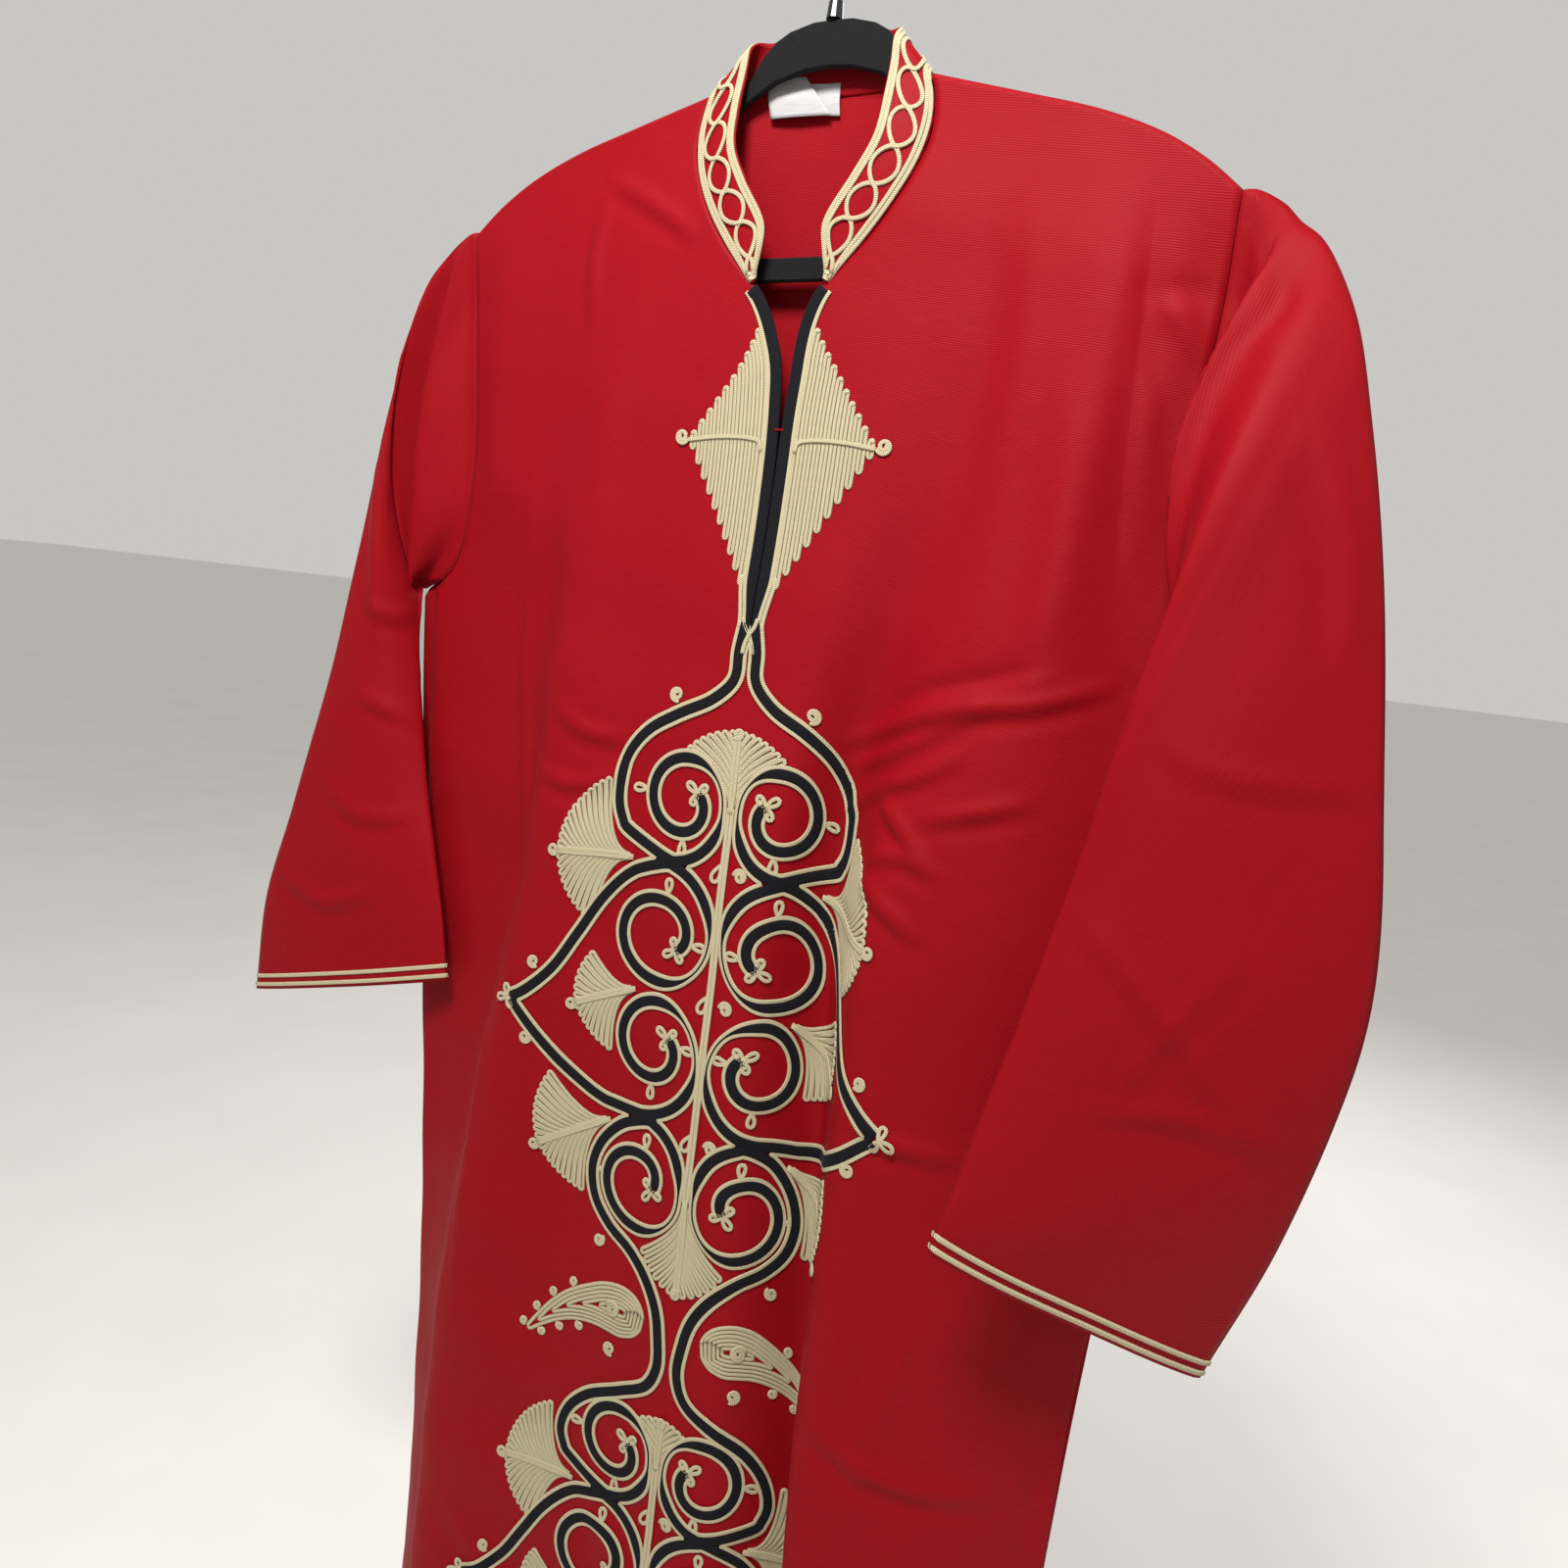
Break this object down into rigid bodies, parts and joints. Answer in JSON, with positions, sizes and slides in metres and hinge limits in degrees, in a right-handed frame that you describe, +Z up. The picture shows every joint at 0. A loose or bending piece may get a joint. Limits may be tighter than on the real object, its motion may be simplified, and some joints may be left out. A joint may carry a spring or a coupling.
{
  "type": "galabeya on a hanger",
  "caption": "Red galabeya with cream braid and black velvet scrolls, hung on a flocked hanger by its hook.",
  "frame": {"origin": "the inner top of the hanger's hook, where it bears on a rail", "axes": "+Z up, the front of the garment faces -Y, +X to the garment's own left"},
  "size_m": [0.8554, 0.1537, 1.5355],
  "materials": {
    "cloth": "crimson fine ribbed cloth, dull sheen",
    "braid": "cream corded braid with a soft silk sheen",
    "velvet": "black velvet tape",
    "label": "blank satin label",
    "flock": "black flocked plastic",
    "hook_wire": "dark metal wire"
  },
  "bodies": {
    "root": {"front": "cloth", "back": "cloth", "sleeve_right": "cloth", "sleeve_left": "cloth", "collar": "cloth", "fan_upper_1_right": "braid", "fan_upper_1_left": "braid", "fan_upper_2_right": "braid", "fan_upper_2_left": "braid", "fan_middle_1_right": "braid", "fan_middle_1_left": "braid", "fan_middle_2_right": "braid", "fan_middle_2_left": "braid", "fan_lower_1_right": "braid", "fan_lower_1_left": "braid", "fan_lower_2_right": "braid", "fan_lower_2_left": "braid", "stem_1": "braid", "stem_2": "braid", "paisley_right": "braid", "paisley_left": "braid", "diamond_right": "braid", "diamond_left": "braid", "cuff_braid_1_right": "braid", "cuff_braid_1_left": "braid", "cuff_braid_2_right": "braid", "cuff_braid_2_left": "braid", "collar_braid": "braid", "scroll_upper_right": "velvet", "scroll_upper_left": "velvet", "scroll_lower_right": "velvet", "scroll_lower_left": "velvet", "slit_tape_right": "velvet", "slit_tape_left": "velvet", "neck_label_large": "label", "neck_label_small": "label", "hanger": "flock", "hook_socket": "flock", "hook": "hook_wire"}
  },
  "joints": []
}
